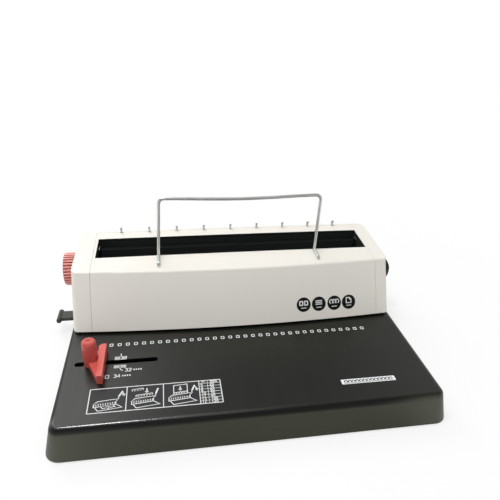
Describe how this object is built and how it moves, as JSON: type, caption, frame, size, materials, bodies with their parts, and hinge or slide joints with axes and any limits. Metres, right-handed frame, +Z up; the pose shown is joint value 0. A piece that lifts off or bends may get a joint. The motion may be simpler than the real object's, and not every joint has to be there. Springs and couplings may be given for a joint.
{
  "type": "wire binding machine",
  "caption": "Desk machine that punches a row of square holes in paper and presses double-loop wire shut, with a dark base, white bowed cover, side lever, red size dial and side stop.",
  "frame": {"origin": "centre of the base's footprint, on the desk under the rubber feet", "axes": "+Z up; -Y towards the operator, so paper goes in along +Y; +X to the operator's right, where the lever is"},
  "size_m": [0.415, 0.4031, 0.171],
  "materials": {
    "base_paint": "satin, fine texture",
    "plate_paint": "satin",
    "foot_rubber": "matt",
    "zinc_screw": "zinc plated",
    "black_screw": "black oxide",
    "runner_steel": "zinc plated",
    "die_steel": "ground",
    "frame_steel": "zinc plated",
    "shaft_steel": "drawn",
    "bush_brass": "turned",
    "liner_black": "satin",
    "cover_white": "satin",
    "bail_wire": "satin nickel",
    "hook_steel": "bright",
    "grip_black": "satin",
    "beam_steel": "oiled",
    "pin_steel": "hardened, ground",
    "spring_steel": "bright",
    "jaw_black": "satin",
    "cam_plastic": "natural",
    "red_plastic": "satin gloss",
    "tray_black": "satin",
    "pull_grey": "satin"
  },
  "bodies": {
    "machine": {"base_shell": "base_paint", "bottom_plate": "plate_paint", "rubber_feet": "foot_rubber", "bottom_screws": "zinc_screw", "tray_runners": "runner_steel", "die_plate": "die_steel", "back_stop": "die_steel", "stripper_plate": "die_steel", "stripper_screws": "black_screw", "guide_posts": "shaft_steel", "side_frame_left": "frame_steel", "side_frame_right": "frame_steel", "frame_screws": "zinc_screw", "shaft_bushes": "bush_brass", "trough_liner": "liner_black", "trough_screws": "zinc_screw", "front_shell": "cover_white", "end_cap_left": "cover_white", "end_cap_right": "cover_white", "rear_cover": "cover_white", "hook_strip": "hook_steel", "cover_screws": "zinc_screw", "return_springs": "spring_steel"},
    "lever": {"lever_shaft": "shaft_steel", "punch_cams": "beam_steel", "closing_cams": "beam_steel", "lever_hub": "grip_black", "lever_rod": "shaft_steel", "lever_grip": "grip_black", "hub_screw": "zinc_screw"},
    "punch": {"punch_beam": "beam_steel", "punch_arms": "beam_steel", "pin_retainer": "frame_steel", "punch_pins": "pin_steel"},
    "closer": {"closing_bar": "jaw_black", "closing_arms": "beam_steel"},
    "size_dial": {"size_knob": "red_plastic", "knob_shaft": "shaft_steel", "size_cam": "cam_plastic"},
    "gap_jaw": {"gap_bar": "jaw_black", "gap_yoke": "frame_steel"},
    "tray": {"chip_tray": "tray_black", "tray_pull": "pull_grey"},
    "side_guide": {"side_stop": "red_plastic", "stop_nut": "frame_steel"},
    "clamp_knob": {"stop_knob": "red_plastic"},
    "bail": {"bail": "bail_wire"}
  },
  "joints": [
    {"name": "lever_swing", "type": "hinge", "parent": "machine", "child": "lever", "pos_m": [0.193, 0.076, 0.059], "axis": [1, 0, 0], "range_deg": [0, 150]},
    {"name": "punch_stroke", "type": "slide", "parent": "machine", "child": "punch", "axis": [0, 0, -1], "range_m": [0, 0.0096], "stiffness_N_per_m": 1200, "springref_m": -0.006, "deforming": ["return_springs"]},
    {"name": "closing_stroke", "type": "slide", "parent": "machine", "child": "closer", "axis": [0, -1, 0], "range_m": [0, 0.007]},
    {"name": "size_turn", "type": "hinge", "parent": "machine", "child": "size_dial", "pos_m": [-0.188, 0.075, 0.0785], "axis": [1, 0, 0], "range_deg": [0, 270]},
    {"name": "gap_travel", "type": "slide", "parent": "machine", "child": "gap_jaw", "axis": [0, 1, 0], "range_m": [0, 0.0095]},
    {"name": "tray_pull_out", "type": "slide", "parent": "machine", "child": "tray", "axis": [-1, 0, 0], "range_m": [0, 0.24]},
    {"name": "side_guide_slide", "type": "slide", "parent": "machine", "child": "side_guide", "axis": [1, 0, 0], "range_m": [-0.007, 0.0575]},
    {"name": "clamp_turn", "type": "hinge", "parent": "side_guide", "child": "clamp_knob", "pos_m": [-0.1572, -0.044, 0.05], "axis": [0, 0, 1], "range_deg": [0, 360]},
    {"name": "bail_lift", "type": "slide", "parent": "machine", "child": "bail", "axis": [0, 0, 1], "range_m": [0, 0.012]}
  ],
  "couplings": [
    {"joint": "punch_stroke", "follows": "lever_swing", "m_per_rad": 0.0036669},
    {"joint": "closing_stroke", "follows": "lever_swing", "m_per_rad": 0.0026738},
    {"joint": "size_turn", "follows": "gap_travel", "rad_per_m": 496.04}
  ]
}
